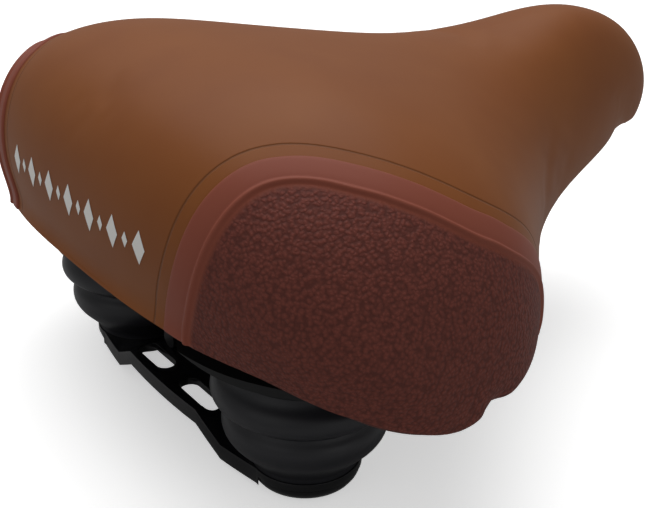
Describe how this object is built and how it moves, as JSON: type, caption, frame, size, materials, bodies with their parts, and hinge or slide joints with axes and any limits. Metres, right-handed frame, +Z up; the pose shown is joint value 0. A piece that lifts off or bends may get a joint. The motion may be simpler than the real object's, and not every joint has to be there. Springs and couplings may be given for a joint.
{
  "type": "bicycle saddle",
  "caption": "Wide padded bicycle saddle with textured rear corners, rubber springs on a steel bridge plate, and round rails for a seat post clamp.",
  "frame": {"origin": "midway between the rails on their axes, at the middle of the clamp stretch", "axes": "+Y towards the nose, +X to the rider's right, +Z up"},
  "size_m": [0.2312, 0.257, 0.1263],
  "materials": {
    "smooth_skin": "satin synthetic leather",
    "patch_skin": "embossed synthetic leather",
    "foam": "moulded polyurethane foam",
    "base_plastic": "moulded polypropylene",
    "collar_plastic": "moulded nylon",
    "rubber": "moulded rubber",
    "black_paint": "gloss black stove enamel",
    "rail_steel": "satin black enamel on steel rod",
    "zinc_steel": "zinc-plated steel"
  },
  "bodies": {
    "underframe": {"rails": "rail_steel", "rail_welds": "black_paint", "bridge_plate": "black_paint", "elastomer_cup_right": "black_paint", "elastomer_cup_left": "black_paint", "cup_washers": "zinc_steel", "cup_bolts": "zinc_steel", "lower_inserts": "zinc_steel", "elastomer_right": "rubber", "elastomer_left": "rubber"},
    "seat_top": {"base_shell": "base_plastic", "corner_patch_left": "patch_skin", "corner_patch_right": "patch_skin", "cover": "smooth_skin", "foam_pad": "foam", "hem_staples": "zinc_steel", "nose_block": "base_plastic", "nose_cap": "base_plastic", "nose_screws": "zinc_steel", "seat_collar_left": "collar_plastic", "seat_collar_right": "collar_plastic", "upper_inserts": "zinc_steel", "upper_screws": "zinc_steel"}
  },
  "joints": [
    {"name": "seat_spring", "type": "hinge", "parent": "underframe", "child": "seat_top", "pos_m": [0, 0.09392, 0.04101], "axis": [1, 0, 0], "range_deg": [0, 4], "stiffness_Nm_per_rad": 1200, "deforming": ["elastomer_right", "elastomer_left"]}
  ]
}
